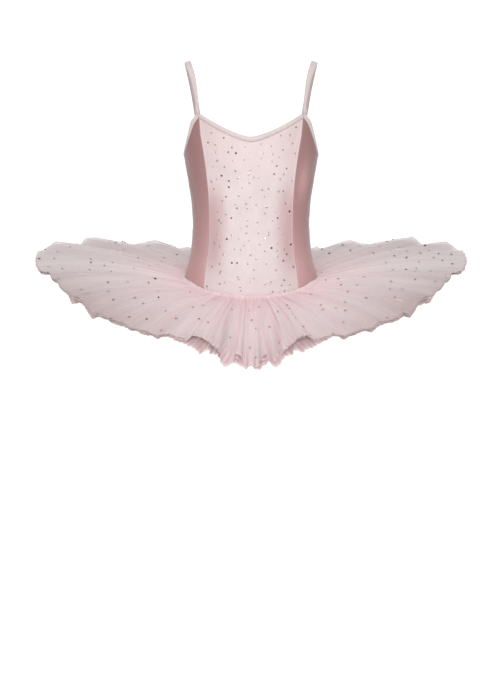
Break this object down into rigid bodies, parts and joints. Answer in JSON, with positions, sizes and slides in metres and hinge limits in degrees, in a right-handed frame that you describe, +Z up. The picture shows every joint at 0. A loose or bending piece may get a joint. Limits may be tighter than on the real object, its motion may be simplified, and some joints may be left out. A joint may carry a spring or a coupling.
{
  "type": "ballet tutu",
  "caption": "Child's ballet tutu: camisole bodice with princess seams, bound edges and thin straps, on a brief with a gathered net skirt in layers that stands out from the hips.",
  "frame": {"origin": "midway between the two shoulder straps, level with the underside of their highest points, where the wearer's shoulders hold the garment up", "axes": "+Z up, -Y the front of the garment, +X the wearer's left"},
  "size_m": [0.7064, 0.65, 0.4536],
  "materials": {
    "foil_dot_lycra": "matt knit with foil dots",
    "satin_lycra": "soft satin",
    "binding_lycra": "matt knit",
    "plain_lycra": "matt knit",
    "foil_dot_net": "stiff net with foil dots",
    "plain_net": "stiff net"
  },
  "bodies": {
    "root": {"front_panel": "foil_dot_lycra", "back_panel": "foil_dot_lycra", "side_panel_left": "satin_lycra", "side_panel_right": "satin_lycra", "front_neck_binding": "binding_lycra", "back_neck_binding": "binding_lycra", "armhole_binding_left": "binding_lycra", "armhole_binding_right": "binding_lycra", "strap_left": "binding_lycra", "strap_right": "binding_lycra", "brief_front": "plain_lycra", "brief_back": "plain_lycra", "net_top_layer": "foil_dot_net", "net_second_layer": "plain_net", "net_third_layer": "plain_net", "net_bottom_layer": "plain_net"}
  },
  "joints": []
}
